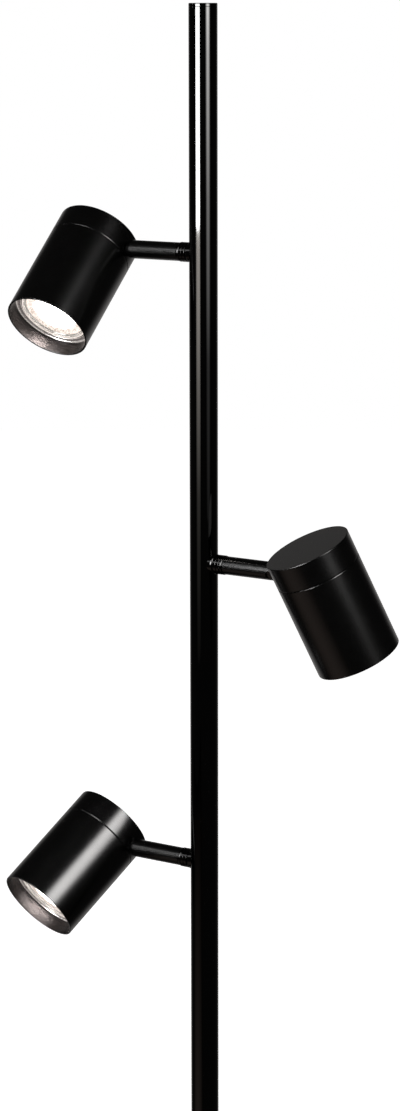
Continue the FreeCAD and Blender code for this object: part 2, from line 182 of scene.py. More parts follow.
class Spot:
    """One spot: the places of its arm and head, read from the joints and the head's tube."""

    def __init__(self, name):
        swivel = joint_named("swivel_" + name)
        tilt = joint_named("tilt_" + name)
        outward = Vector(swivel["axis"]).normalized()
        pin = -Vector(tilt["axis"]).normalized()
        upward = outward.cross(pin)
        self.name = name
        self.arm = place_at(Vector(swivel["pos_m"]), -upward, outward)
        angle = math.radians(-tilt_inward_stop - tilt["range_deg"][0])
        head_across = outward * math.cos(angle) + upward * math.sin(angle)
        head_along = upward * math.cos(angle) - outward * math.sin(angle)
        low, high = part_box("head_body_" + name)
        rough = place_at((low + high) / 2, head_across, head_along)
        rim = Reach("head_body_" + name, rough).low
        self.head = rough @ Matrix.Translation(Vector((0, 0, rim)))

    def reach(self, node):
        """Reach of one of the head's nodes about the head's axis."""
        return Reach(node + "_" + self.name, self.head)


upright = Matrix.Identity(4)
spots = [Spot(name) for name in spot_names]
# A node that holds a piece for each arm is read only this near one arm's axis
arm_limit = 0.02


# Turned pieces
def corner(radius, height, rounding=0.0):
    """One corner of an outline, with the radius of its rounding."""
    return Vector((radius, height)), rounding


def rounded(corners):
    """Closed outline with its corners rounded, as (start, end, start normal, end normal)."""
    count = len(corners)
    area = 0.0
    for index in range(count):
        here, there = corners[index][0], corners[(index + 1) % count][0]
        area += here.x * there.y - there.x * here.y
    if area < 0:
        corners = corners[::-1]
    starts, ends, arcs = [], [], []
    for index in range(count):
        point, rounding = corners[index]
        inward = (corners[index - 1][0] - point).normalized()
        outward = (corners[(index + 1) % count][0] - point).normalized()
        if rounding == 0.0:
            starts.append(point)
            ends.append(point)
            arcs.append([])
            continue
        half = math.acos(max(-1.0, min(1.0, inward.dot(outward)))) / 2
        cut = rounding / math.tan(half)
        first, last = point + inward * cut, point + outward * cut
        centre = point + (inward + outward).normalized() * (rounding / math.sin(half))
        convex = inward.x * outward.y - inward.y * outward.x < 0
        sign = 1.0 if convex else -1.0
        opening = math.pi - 2 * half
        near, far = first - centre, last - centre
        ring = []
        for step in range(corner_steps + 1):
            share = step / corner_steps
            mixed = near * math.sin((1 - share) * opening) + far * math.sin(share * opening)
            spoke = mixed / math.sin(opening)
            ring.append((centre + spoke, spoke.normalized() * sign))
        starts.append(first)
        ends.append(last)
        arcs.append(ring)
    segments = []
    for index in range(count):
        for (start, first_normal), (end, last_normal) in zip(arcs[index], arcs[index][1:]):
            segments.append((start, end, first_normal, last_normal))
        start, end = ends[index], starts[(index + 1) % count]
        run = end - start
        if run.length > shortest_run:
            normal = Vector((run.y, -run.x)).normalized()
            segments.append((start, end, normal, normal))
    return segments


def put(name, points, faces, place=upright):
    """Object of points and faces at a place."""
    mesh = bpy.data.meshes.new(name)
    mesh.from_pydata(points, [], faces)
    mesh.update()
    piece = bpy.data.objects.new(name, mesh)
    piece.matrix_world = place
    bpy.context.scene.collection.objects.link(piece)
    return piece


def circle(radius, sides):
    """Points of a circle about the origin, as many as it has sides."""
    points = []
    for side in range(sides):
        angle = math.tau * side / sides
        points.append((radius * math.cos(angle), radius * math.sin(angle)))
    return points


def smooth(piece):
    """Shade every face of a piece smoothly."""
    piece.data.polygons.foreach_set("use_smooth", [True] * len(piece.data.polygons))


class Shell:
    """Mesh being built: vertices, faces and the shading normal of each face corner."""

    def __init__(self):
        self.points = []
        self.faces = []
        self.normals = []

    def turn(self, corners, sides, shift=0.0):
        """Add the solid of revolution of an outline about the Z axis, or beside it."""
        segments = rounded(corners)
        count = len(segments)
        rings = []
        for start, _, _, _ in segments:
            first = len(self.points)
            if start.x < hairline:
                self.points.append(Vector((shift, 0, start.y)))
                rings.append([first] * sides)
                continue
            for x, y in circle(start.x, sides):
                self.points.append(Vector((shift + x, y, start.y)))
            rings.append(list(range(first, first + sides)))
        for index, (_, _, first_normal, last_normal) in enumerate(segments):
            low, high = rings[index], rings[(index + 1) % count]
            if low[0] == low[1] and high[0] == high[1]:
                continue
            for side in range(sides):
                after = (side + 1) % sides
                loop = [
                    (low[side], side, first_normal), (low[after], side + 1, first_normal),
                    (high[after], side + 1, last_normal), (high[side], side, last_normal),
                ]
                if low[side] == low[after]:
                    loop.pop(1)
                elif high[side] == high[after]:
                    loop.pop(2)
                self.faces.append([vertex for vertex, _, _ in loop])
                for _, step, normal in loop:
                    angle = math.tau * step / sides
                    self.normals.append((normal.x * math.cos(angle), normal.x * math.sin(angle), normal.y))

    def pierce(self, wall, sign, hole_radius, level):
        """Cut a round hole along Y through one turned wall and return the hole's ring of points."""
        faces, normals, edge = [], [], set()
        start = 0
        for face in self.faces:
            points = [self.points[vertex] for vertex in face]
            sideways = [point.x for point in points]
            heights = [point.z for point in points]
            on_wall = all(
                abs(math.hypot(point.x, point.y) - wall) < hairline and point.y > 0 for point in points
            )
            beside = min(sideways) > hole_radius or max(sideways) < -hole_radius
            if on_wall and min(heights) < level < max(heights) and not beside:
                edge.update(face)
            else:
                faces.append(face)
                normals.extend(self.normals[start:start + len(face)])
            start += len(face)
        self.faces, self.normals = faces, normals
        edge = sorted(edge, key=lambda vertex: self.points[vertex].x)
        low = [vertex for vertex in edge if self.points[vertex].z < level]
        high = [vertex for vertex in edge if self.points[vertex].z > level]
        ring = []
        for x, z in circle(hole_radius, small_sides):
            ring.append(len(self.points))
            self.points.append(Vector((x, math.sqrt(wall * wall - x * x), level + z)))
        half = small_sides // 2
        patches = [
            high + ring[:half + 1], low[::-1] + ring[half:] + ring[:1],
            [low[0], high[0], ring[half]], [high[-1], low[-1], ring[0]],
        ]
        for patch in patches:
            if sign < 0:
                patch.reverse()
            self.faces.append(patch)
            for vertex in patch:
                point = self.points[vertex]
                self.normals.append((sign * point.x / wall, sign * point.y / wall, 0.0))
        return ring

    def line_hole(self, outer, inner):
        """Join the two rings of a hole along Y by its wall."""
        count = len(outer)
        for side in range(count):
            after = (side + 1) % count
            self.faces.append([inner[side], inner[after], outer[after], outer[side]])
            for step in (side, side + 1, side + 1, side):
                angle = math.tau * step / count
                self.normals.append((-math.cos(angle), 0.0, -math.sin(angle)))

    def finish(self, name, place=upright):
        """Make the object at its place, smooth, with its shading normals."""
        piece = put(name, self.points, self.faces, place)
        smooth(piece)
        piece.data.normals_split_custom_set(self.normals)
        return piece


def dress(piece, body, slot, *nodes, material=None):
    """Put a finished piece on its body, in place of its CAD nodes, with its slot's finish or another."""
    piece.data.materials.append(material or finishes[slot])
    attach(piece, body)
    if nodes:
        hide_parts(*nodes)


def turned(name, corners, sides, place=upright):
    """Object of one outline turned about the Z axis of a place."""
    shell = Shell()
    shell.turn(corners, sides)
    return shell.finish(name, place)


def tube_outline(reach, edge):
    """Outline of a tube whose four edges are alike."""
    return [
        corner(reach.bore, reach.low, edge), corner(reach.radius, reach.low, edge),
        corner(reach.radius, reach.high, edge), corner(reach.bore, reach.high, edge),
    ]


# Node trees
middle_shares = (0.3, 0.7)


class Tree:
    """Short calls for building the nodes of a material or a world."""

    def __init__(self, owner):
        owner.use_nodes = True
        self.nodes = owner.node_tree.nodes
        self.links = owner.node_tree.links
        self.where = self.nodes.new("ShaderNodeTexCoord").outputs

    def noise(self, scale, detail=2.0, roughness=0.5, stretch=None):
        """Noise in the piece's own metres, as many swells to a metre as the scale says."""
        node = self.nodes.new("ShaderNodeTexNoise")
        node.inputs["Scale"].default_value = scale
        node.inputs["Detail"].default_value = detail
        node.inputs["Roughness"].default_value = roughness
        self.links.new(self.point(stretch), node.inputs["Vector"])
        return node.outputs["Fac"]

    def cells(self, scale, output="Distance"):
        """Cell pattern in the piece's own metres."""
        node = self.nodes.new("ShaderNodeTexVoronoi")
        node.inputs["Scale"].default_value = scale
        self.links.new(self.where["Object"], node.inputs["Vector"])
        return node.outputs[output]

    def point(self, stretch):
        """Object coordinates, stretched if asked."""
        if stretch is None:
            return self.where["Object"]
        node = self.nodes.new("ShaderNodeMapping")
        node.inputs["Scale"].default_value = stretch
        self.links.new(self.where["Object"], node.inputs["Vector"])
        return node.outputs["Vector"]

    def away(self):
        """Distance from the piece's own Z axis."""
        node = self.nodes.new("ShaderNodeVectorMath")
        node.operation = "LENGTH"
        self.links.new(self.point((1.0, 1.0, 0.0)), node.inputs[0])
        return node.outputs["Value"]

    def depth(self):
        """Height along the piece's own Z axis."""
        node = self.nodes.new("ShaderNodeSeparateXYZ")
        self.links.new(self.where["Object"], node.inputs[0])
        return node.outputs["Z"]

    def ramp(self, source, low, high, low_value, high_value):
        """Carry one range of a socket to another range."""
        node = self.nodes.new("ShaderNodeMapRange")
        ends = {"From Min": low, "From Max": high, "To Min": low_value, "To Max": high_value}
        for name, value in ends.items():
            node.inputs[name].default_value = value
        self.links.new(source, node.inputs["Value"])
        return node.outputs["Result"]

    def follow(self, source, shares):
        """Carry a socket that goes from zero to one to the shares along it."""
        node = self.nodes.new("ShaderNodeValToRGB")
        stops = node.color_ramp.elements
        for position, _ in shares[1:-1]:
            stops.new(position)
        for stop, (_, value) in zip(stops, shares):
            stop.color = (value, value, value, 1.0)
        self.links.new(source, node.inputs["Fac"])
        return node.outputs["Color"]

    def product(self, first, *others):
        """Product of sockets."""
        for other in others:
            first = self.math("MULTIPLY", first, other)
        return first

    def math(self, operation, first, second):
        """Result of one operation on two sockets."""
        node = self.nodes.new("ShaderNodeMath")
        node.operation = operation
        self.links.new(first, node.inputs[0])
        self.links.new(second, node.inputs[1])
        return node.outputs["Value"]

    def mix(self, factor, first, second):
        """Colour between two colours by a factor."""
        node = self.nodes.new("ShaderNodeMix")
        node.data_type = "RGBA"
        self.links.new(factor, node.inputs["Factor"])
        for name, colour in (("A", first), ("B", second)):
            socket = next(slot for slot in node.inputs if slot.name == name and slot.type == "RGBA")
            socket.default_value = (*colour, 1.0)
        return next(slot for slot in node.outputs if slot.type == "RGBA")


class Finish(Tree):
    """A material's nodes round its shader, whose sockets are set by name, with _ for a space."""

    def __init__(self, name, **values):
        self.material = bpy.data.materials.new(name)
        super().__init__(self.material)
        self.shader = self.nodes["Principled BSDF"]
        for socket, value in values.items():
            self.shader.inputs[socket.replace("_", " ")].default_value = value

    def to(self, source, name):
        """Link a socket to a socket of the shader."""
        self.links.new(source, self.shader.inputs[name])

    def paint(self, factor, first, second):
        """Base colour between two colours."""
        self.to(self.mix(factor, first, second), "Base Color")

    def shine(self, factor, second, first=(0.0, 0.0, 0.0)):
        """Colour of the piece's own light, from black unless said."""
        self.to(self.mix(factor, first, second), "Emission Color")

    def roughen(self, noise, low, high):
        """Roughness that goes from one value to another over the middle of a noise."""
        self.to(self.ramp(noise, *middle_shares, low, high), "Roughness")

    def bump(self, height, depth, strength, under=None):
        """Bump from a height socket, as deep as given, over another bump if asked."""
        node = self.nodes.new("ShaderNodeBump")
        node.inputs["Strength"].default_value = strength
        node.inputs["Distance"].default_value = depth
        self.links.new(height, node.inputs["Height"])
        if under is not None:
            self.links.new(under, node.inputs["Normal"])
        self.links.new(node.outputs["Normal"], self.shader.inputs["Normal"])
        return node.outputs["Normal"]


# Materials
def lacquer(name, roughness, spread, peel_depth):
    """Black lacquer: faint cloudiness, uneven gloss and the fine peel of a sprayed coat."""
    tree = Finish(name, IOR=1.5)
    tree.paint(tree.noise(45.0, detail=3.0), (0.0024, 0.00234, 0.00234), (0.00375, 0.0036, 0.00354))
    gloss = tree.noise(110.0, detail=4.0, roughness=0.6)
    tree.roughen(gloss, roughness - spread, roughness + spread)
    swell = tree.bump(tree.noise(900.0), peel_depth, strength=0.5)
    tree.bump(tree.noise(5200.0, detail=1.0), peel_depth / 3, strength=0.4, under=swell)
    return tree.material


def inside_lacquer():
    """Lacquer inside a head, hazed in patches by the bulb's heat."""
    peel_depth = 0.000004
    tree = Finish("inside_lacquer", IOR=1.42, Specular_Tint=(1.0, 0.90, 0.92, 1.0))
    tree.paint(tree.noise(120.0, detail=4.0), (0.0020, 0.0018, 0.0017), (0.0031, 0.0028, 0.0026))
    tree.roughen(tree.noise(240.0, detail=3.0), 0.24, 0.26)
    tree.bump(tree.noise(1300.0), peel_depth, strength=0.5)
    return tree.material


def cast_iron():
    """Dark cast iron with a grainy skin and a trace of rust."""
    grain_depth = 0.0002
    tree = Finish("cast_iron", Metallic=0.6)
    rust = tree.ramp(tree.noise(60.0, detail=6.0), 0.55, 0.75, 0.0, 1.0)
    tree.paint(rust, (0.10, 0.10, 0.10), (0.14, 0.07, 0.04))
    tree.roughen(tree.noise(300.0), 0.55, 0.75)
    tree.bump(tree.cells(700.0), grain_depth, strength=0.7)
    return tree.material


def zinc():
    """Zinc plated steel with fine brushed lines and dull spangles."""
    line_depth = 0.00002
    tree = Finish("zinc", Metallic=1.0)
    spangle = tree.cells(450.0, output="Color")
    tree.paint(tree.noise(800.0), (0.52, 0.52, 0.50), (0.68, 0.67, 0.63))
    tree.to(tree.ramp(spangle, 0.0, 1.0, 0.26, 0.42), "Roughness")
    tree.bump(tree.noise(2600.0, stretch=(0.15, 1.0, 1.0)), line_depth, strength=0.5)
    return tree.material


def rubber():
    """Soft foam rubber, matte, with open pores."""
    pore_depth = 0.0002
    tree = Finish("rubber")
    tree.paint(tree.noise(500.0), (0.022, 0.022, 0.022), (0.045, 0.044, 0.043))
    tree.roughen(tree.noise(150.0), 0.78, 0.92)
    tree.bump(tree.cells(1400.0), pore_depth, strength=0.8)
    return tree.material


def plastic():
    """Moulded black plastic with a fine spark eroded grain."""
    grain_depth = 0.00005
    tree = Finish("plastic", IOR=1.48)
    tree.paint(tree.noise(90.0), (0.014, 0.014, 0.015), (0.021, 0.021, 0.022))
    tree.roughen(tree.noise(420.0), 0.42, 0.56)
    tree.bump(tree.cells(3200.0), grain_depth, strength=0.6)
    return tree.material


def sheath():
    """Smooth sheath of the inner cable, faintly ribbed by its cores."""
    rib_depth = 0.0001
    tree = Finish("sheath")
    tree.paint(tree.noise(60.0), (0.015, 0.015, 0.015), (0.026, 0.025, 0.025))
    tree.roughen(tree.noise(200.0), 0.40, 0.55)
    tree.bump(tree.noise(500.0, stretch=(1.0, 1.0, 0.05)), rib_depth, strength=0.5)
    return tree.material


def ceramic():
    """Unglazed ceramic, chalky and speckled."""
    grain_depth = 0.00006
    tree = Finish("ceramic")
    speck = tree.ramp(tree.noise(1500.0, detail=3.0), 0.60, 0.72, 0.0, 1.0)
    tree.paint(speck, (0.80, 0.78, 0.72), (0.62, 0.57, 0.49))
    tree.roughen(tree.noise(200.0), 0.62, 0.80)
    tree.bump(tree.noise(2400.0), grain_depth, strength=0.7)
    return tree.material


def chrome(bead_inner, bead_outer):
    """Polished ring with hair-fine turning marks, with a painted glow for the bulb's light on it and a
    painted highlight on its bead.
    """
    mark_depth = 0.00001
    tree = Finish("chrome", Metallic=1.0, Emission_Strength=ring_painted_glow)
    # Painted light: a dim glow over the whole ring, rising to a painted highlight from the bead outwards
    bead = tree.ramp(tree.away(), bead_inner, bead_outer, 0.0, 1.0)
    tree.shine(bead, (1.0, 0.92, 0.87), first=(0.24, 0.21, 0.20))
    tree.paint(tree.noise(300.0), (0.66, 0.65, 0.64), (0.78, 0.77, 0.75))
    tree.roughen(tree.noise(500.0, detail=4.0), 0.24, 0.34)
    tree.bump(tree.noise(1800.0, detail=3.0), mark_depth, strength=0.4)
    return tree.material


def reflector_glass(groove_radius, rim_radius, rim_depth):
    """Silvered glass of the bulb: its front rim lit through from inside, its flanks only faintly."""
    wave_depth = 0.00003
    tree = Finish("reflector_glass", IOR=1.5, Emission_Strength=rim_radiance)
    cloud = tree.noise(260.0, detail=4.0)
    tree.paint(cloud, (0.62, 0.60, 0.58), (0.74, 0.72, 0.70))
    outer = tree.ramp(tree.away(), groove_radius, rim_radius, 0.12, 1.0)
    front = tree.ramp(tree.depth(), rim_depth, rim_depth * rim_fade_share, 1.0, 0.06)
    patchy = tree.ramp(tree.noise(330.0, detail=3.0), 0.35, 0.65, 0.8, 1.0)
    tree.shine(tree.product(outer, front, patchy), (1.0, 0.9, 0.83))
    tree.roughen(cloud, 0.06, 0.14)
    tree.bump(tree.noise(700.0), wave_depth, strength=0.5)
    return tree.material


def silvered():
    """Bright coating of the reflector's facets, glowing faintly with the light that goes round in it."""
    wave_depth = 0.00005
    tree = Finish("silvered", Metallic=1.0, Emission_Strength=bowl_radiance)
    cloud = tree.noise(420.0, detail=3.0)
    tree.paint(cloud, (0.09, 0.085, 0.08), (0.15, 0.145, 0.14))
    fleck = tree.ramp(tree.noise(650.0, detail=3.0), 0.38, 0.52, 0.0, 1.0)
    tree.shine(fleck, (1.0, 0.90, 0.84), first=(0.52, 0.40, 0.34))
    tree.roughen(cloud, 0.22, 0.34)
    tree.bump(tree.noise(900.0), wave_depth, strength=0.6)
    return tree.material


def capsule_glass(tip):
    """Lit capsule: bright from its tip on, faint further back."""
    tree = Finish(
        "capsule_glass", IOR=1.5, Emission_Strength=capsule_radiance, Base_Color=(0.9, 0.88, 0.85, 1.0)
    )
    core = tree.ramp(tree.noise(500.0), 0.35, 0.65, 0.7, 1.0)
    fade = tip + capsule_bright_length
    lit = tree.ramp(tree.depth(), fade, fade + capsule_fade_length, 1.0, 0.01)
    tree.shine(tree.product(core, lit), (1.0, 0.94, 0.88))
    tree.to(tree.ramp(core, 0.7, 1.0, 0.08, 0.14), "Roughness")
    return tree.material


def lens_glass():
    """Clear front glass with the slight waviness of pressed glass, glowing at its middle."""
    wave_depth = 0.00006
    tree = Finish("lens_glass", IOR=1.5, Transmission_Weight=1.0, Emission_Strength=core_radiance)
    ragged = tree.ramp(tree.noise(300.0, detail=3.0), *middle_shares, -core_raggedness, core_raggedness)
    core = tree.ramp(tree.math("ADD", tree.away(), ragged), core_radius, core_fade_radius, 1.0, 0.0)
    tree.shine(core, (1.0, 0.95, 0.90))
    wave = tree.noise(380.0)
    tree.paint(wave, (0.94, 0.93, 0.91), (0.99, 0.985, 0.975))
    tree.roughen(wave, 0.02, 0.06)
    tree.bump(wave, wave_depth, strength=0.6)
    return tree.material


def capsule_floor(front):
    """Where the capsule stands in a bulb whose front lies there."""
    return front + bulb_waist - bowl_play - bowl_wall - hairline


bulb_reach = spots[0].reach("bulb")
glass_reach = spots[0].reach("bulb_lens")
ring_reach = spots[0].reach("bulb_ring")
satin_peel = 0.000003
gloss_peel = 0.000001
satin = lacquer("satin_lacquer", 0.215, 0.012, satin_peel)
gloss = lacquer("gloss_lacquer", 0.036, 0.006, gloss_peel)
finishes = {
    "black_metal": satin,
    "cast_weight": cast_iron(),
    "zinc_steel": zinc(),
    "foot_rubber": rubber(),
    "black_plastic": plastic(),
    "cable_sheath": sheath(),
    "ceramic": ceramic(),
    "bulb_glass": reflector_glass(
        glass_reach.radius, glass_reach.radius + rolled_edge, bulb_reach.low + rim_height / 2
    ),
    "bulb_lens_glass": lens_glass(),
    # The ring's painted highlight brightens between these two radii, over its bead
    "bright_ring": chrome(ring_reach.radius - 2 * ring_bead_radius, ring_reach.radius - ring_bead_radius),
}
inside = inside_lacquer()
mirror = silvered()
glowing = capsule_glass(capsule_floor(bulb_reach.low) - capsule_length)


def finish_cad_nodes():
    """Give every CAD node the finish of its material slot."""
    for node in frame["nodes"].values():
        for slot in node.material_slots:
            slot.material = finishes[slot.material.name.split(".")[0]]


# Pole and base
def make_pole():
    """Both tubes of the pole and its cap."""
    lower = Reach("pole_lower", upright)
    upper = Reach("pole_upper", upright)
    cap = Reach("pole_cap", upright)
    for part, reach in (("lower", lower), ("upper", upper)):
        tube = turned("pole_tube_" + part, tube_outline(reach, pole_seam_edge), pole_sides)
        dress(tube, "stand", "black_metal", "pole_" + part, material=gloss)
    plug = Reach("pole_cap", upright, within=upper.bore).radius
    lid = [
        corner(0, cap.low), corner(plug, cap.low, fine_edge), corner(plug, upper.high),
        corner(cap.radius, upper.high, fine_edge), corner(cap.radius, cap.high, pole_cap_edge),
        corner(0, cap.high),
    ]
    dress(turned("pole_lid", lid, pole_sides), "stand", "black_metal", "pole_cap", material=gloss)


def make_base():
    """Cover, pad, foot collar and cord inlet."""
    cover = Reach("base_cover", upright)
    weight = Reach("base_weight", upright)
    pad = Reach("base_pad", upright)
    collar = Reach("foot_collar", upright)
    wall = cover.high - weight.high
    shell = [
        corner(cover.bore, weight.high), corner(cover.radius - wall, weight.high, wall),
        corner(cover.radius - wall, cover.low, fine_edge), corner(cover.radius, cover.low, cover_foot_edge),
        corner(cover.radius, cover.high, cover_edge), corner(cover.bore, cover.high, fine_edge),
    ]
    low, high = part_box("cord_inlet")
    level = (low.z + high.z) / 2
    lid = Shell()
    lid.turn(shell, base_sides)
    hole = inlet_neck + inlet_hole_play
    lid.line_hole(lid.pierce(cover.radius, 1, hole, level), lid.pierce(cover.radius - wall, -1, hole, level))
    dress(lid.finish("base_lid"), "stand", "black_metal", "base_cover")
    make_inlet(level)
    disc = [
        corner(0, pad.low), corner(pad.radius, pad.low, pad_edge),
        corner(pad.radius, pad.high, pad_edge), corner(0, pad.high),
    ]
    dress(turned("foot_pad", disc, base_sides), "stand", "foot_rubber", "base_pad")
    ring = [
        corner(collar.bore, collar.low), corner(collar.radius, collar.low, collar_foot_edge),
        corner(collar.radius, collar.high, foot_collar_edge), corner(collar.bore, collar.high, fine_edge),
    ]
    dress(turned("foot_ring", ring, pole_sides), "stand", "black_metal", "foot_collar", material=gloss)


def make_inlet(level):
    """Flanged bushing in the base's rim, where the cord goes in."""
    place = place_at(Vector((0, 0, level)), Vector((1, 0, 0)), Vector((0, 1, 0)))
    reach = Reach("cord_inlet", place)
    flange = reach.high - inlet_flange_length
    outline = [
        corner(reach.bore, reach.low, fine_edge), corner(inlet_neck, reach.low, fine_edge),
        corner(inlet_neck, flange), corner(reach.radius, flange, fine_edge),
        corner(reach.radius, reach.high, inlet_edge), corner(reach.bore, reach.high, inlet_mouth_edge),
    ]
    piece = turned("inlet_bushing", outline, small_sides, place)
    dress(piece, "stand", "black_plastic", "cord_inlet")


# Swivels and arms
def make_saddle(spot):
    """Rounded ring whose back follows the pole's face."""
    reach = Reach("arm_saddles", spot.arm, within=arm_limit)
    pole = Reach("pole_upper", upright).radius
    shell = Shell()
    start = math.sqrt(pole * pole - reach.radius * reach.radius)
    shell.turn(
        [
            corner(reach.bore, start), corner(reach.radius, start),
            corner(reach.radius, reach.high, saddle_edge), corner(reach.bore, reach.high, fine_edge),
        ],
        arm_sides,
    )
    for point in shell.points:
        if point.z < start + hairline:
            level = (spot.arm.to_3x3() @ Vector((point.x, point.y, 0))).z
            aside = point.x * point.x + point.y * point.y - level * level
            point.z = math.sqrt(pole * pole - aside)
    piece = shell.finish("saddle_" + spot.name, spot.arm)
    dress(piece, "stand", "black_metal", "arm_saddles", material=gloss)


def make_collar(spot):
    """Fixed collar with its neck and the groove between two bands."""
    reach = Reach("swivel_bases", spot.arm, within=arm_limit)
    outline = [
        corner(reach.bore, reach.low), corner(collar_neck, reach.low),
        corner(collar_neck, reach.low + neck_length),
        corner(reach.radius, reach.low + neck_length, band_edge),
        corner(reach.radius, reach.low + groove_start, band_edge),
        corner(groove_radius, reach.low + groove_start), corner(groove_radius, reach.low + groove_end),
        corner(reach.radius, reach.low + groove_end, band_edge),
        corner(reach.radius, reach.high, band_edge), corner(reach.bore, reach.high),
    ]
    piece = turned("collar_" + spot.name, outline, arm_sides, spot.arm)
    dress(piece, "stand", "black_metal", "swivel_bases", material=gloss)


def make_arm(spot):
    """Turned bead and round tube of the arm."""
    body = "arm_" + spot.name
    ferrule = Reach("arm_ferrule_" + spot.name, spot.arm)
    tube = Reach("arm_tube_" + spot.name, spot.arm)
    plug = tube.bore - hairline
    bead_end = tube.low - notch_length
    outline = [
        corner(ferrule.bore, ferrule.low), corner(ferrule.radius, ferrule.low, bead_edge),
        corner(ferrule.radius, bead_end, bead_edge), corner(notch_radius, bead_end),
        corner(notch_radius, tube.low), corner(plug, tube.low),
        corner(plug, ferrule.high, fine_edge), corner(ferrule.bore, ferrule.high),
    ]
    piece = turned("bead_" + spot.name, outline, arm_sides, spot.arm)
    dress(piece, body, "black_metal", "arm_ferrule_" + spot.name, material=gloss)
    piece = turned("arm_rod_" + spot.name, tube_outline(tube, fine_edge), arm_sides, spot.arm)
    dress(piece, body, "black_metal", "arm_tube_" + spot.name)


# Heads
def make_head_shell(spot):
    """Open tube of a head: its outside and rim in satin, its inside duller."""
    reach = spot.reach("head_body")
    outline = [
        corner(reach.bore, reach.low, rim_edge), corner(reach.radius, reach.low, rim_edge),
        corner(reach.radius, reach.high - seam_shoulder_length, seam_shoulder_edge),
        corner(reach.radius - seam_shoulder_depth, reach.high, seam_edge),
        corner(reach.bore, reach.high, fine_edge),
    ]
    piece = turned("shade_" + spot.name, outline, head_sides, spot.head)
    dress(piece, "head_" + spot.name, "black_metal", "head_body_" + spot.name)
    piece.data.materials.append(inside)
    wall = (reach.bore + reach.radius) / 2
    for face in piece.data.polygons:
        inner = math.hypot(face.center.x, face.center.y) < wall
        if inner and face.center.z > reach.low + rim_edge:
            face.material_index = 1


def make_head_lid(spot):
    """Rear cap with its spigot."""
    reach = spot.reach("head_cap")
    tube = spot.reach("head_body")
    seam = tube.high + seam_gap
    spigot = tube.bore - hairline
    spigot_bore = spigot - spigot_wall
    bore = reach.radius - lid_wall
    ceiling = reach.high - lid_top
    outline = [
        corner(0, ceiling), corner(bore, ceiling, fine_edge), corner(bore, seam + lid_wall),
        corner(spigot_bore, seam + lid_wall), corner(spigot_bore, reach.low, fine_edge),
        corner(spigot, reach.low, fine_edge), corner(spigot, seam),
        corner(reach.radius - seam_shoulder_depth, seam, seam_edge),
        corner(reach.radius, seam + seam_shoulder_length, seam_shoulder_edge),
        corner(reach.radius, reach.high, cap_top_edge),
        corner(0, reach.high),
    ]
    piece = turned("lid_" + spot.name, outline, head_sides, spot.head)
    dress(piece, "head_" + spot.name, "black_metal", "head_cap_" + spot.name)


def flank_rows(bulb, wall, inset=0.0):
    """Radii and heights of the rows of a bulb's curved flank, less a wall, from its rim to its base."""
    rows = []
    for row in range(1, bowl_rows + 1):
        share = row / bowl_rows
        radius = bulb.radius * (1.0 - flank_slope_share * share - flank_curve_share * share * share)
        rows.append((radius - wall, bulb.low + rim_height + share * (bulb_waist - rim_height - inset)))
    return rows


def make_bulb(spot):
    """Reflector bulb with a rolled rim, curved flanks, a base and two headed pins."""
    bulb = spot.reach("bulb")
    lens = spot.reach("bulb_lens")
    front = bulb.low
    back = front + bulb_length
    seat = lens.high + hairline
    rim_end = front + rim_height
    outside = [corner(*row) for row in flank_rows(bulb, 0.0)]
    inner_rows = flank_rows(bulb, glass_wall)
    lining = [corner(*row) for row in inner_rows]
    base = inner_rows[-1][0]
    lip = lens.radius + hairline
    outline = [
        corner(0, back), corner(base, back, rolled_edge), corner(base, front + bulb_waist), *outside[::-1],
        corner(bulb.radius, rim_end, rolled_edge), corner(bulb.radius, front, rolled_edge),
        corner(lip, front, rolled_edge), corner(lip, seat), corner(lip - glass_wall, seat), *lining,
        corner(0, front + bulb_waist),
    ]
    shell = Shell()
    shell.turn(outline, head_sides)
    for side in (-1, 1):
        neck_end = bulb.high - pin_head_length
        pin = [
            corner(0, back), corner(pin_radius, back), corner(pin_radius, neck_end),
            corner(pin_head_radius, neck_end, fine_edge), corner(pin_head_radius, bulb.high, fine_edge),
            corner(0, bulb.high),
        ]
        shell.turn(pin, small_sides, side * pin_offset)
    piece = shell.finish("reflector_" + spot.name, spot.head)
    dress(piece, "head_" + spot.name, "bulb_glass", "bulb_" + spot.name)


def make_bowl(spot):
    """Faceted bowl inside the bulb: flat facets in rows, open towards the front glass."""
    bulb = spot.reach("bulb")
    lens = spot.reach("bulb_lens")
    points, faces = [], []
    for inset in (bowl_play + bowl_wall, bowl_play):
        mouth = (lens.radius - glass_wall - inset, lens.high + bowl_play)
        skin = [mouth, *flank_rows(bulb, glass_wall + inset, inset)]
        for ring, (radius, height) in enumerate(skin):
            for column in range(bowl_columns):
                angle = math.tau * (column + (ring % 2) / 2) / bowl_columns
                points.append(Vector((radius * math.cos(angle), radius * math.sin(angle), height)))
    outer = (bowl_rows + 1) * bowl_columns
    for ring in range(bowl_rows):
        start = ring * bowl_columns
        above = start + bowl_columns
        for column in range(bowl_columns):
            here = start + column
            beside = start + (column + 1) % bowl_columns
            after = above + (column + ring % 2) % bowl_columns
            before = above + (column + ring % 2 - 1) % bowl_columns
            for one, two, three in ((here, beside, after), (here, after, before)):
                faces.append((three, two, one))
                faces.append((one + outer, two + outer, three + outer))
    for column in range(bowl_columns):
        after = (column + 1) % bowl_columns
        faces.append((column, after, after + outer, column + outer))
    last = bowl_rows * bowl_columns
    faces.append(tuple(last + column for column in reversed(range(bowl_columns))))
    faces.append(tuple(last + outer + column for column in range(bowl_columns)))
    piece = put("bowl_" + spot.name, points, faces, spot.head)
    dress(piece, "head_" + spot.name, "bulb_glass", material=mirror)


def make_capsule(spot):
    """Lit capsule standing on the floor of the bowl."""
    floor_height = capsule_floor(spot.reach("bulb").low)
    outline = [
        corner(0, floor_height), corner(0, floor_height - capsule_length),
        corner(capsule_radius, floor_height - capsule_length, capsule_radius * capsule_tip_share),
        corner(capsule_radius, floor_height),
    ]
    piece = turned("capsule_" + spot.name, outline, small_sides, spot.head)
    dress(piece, "head_" + spot.name, "bulb_lens_glass", material=glowing)


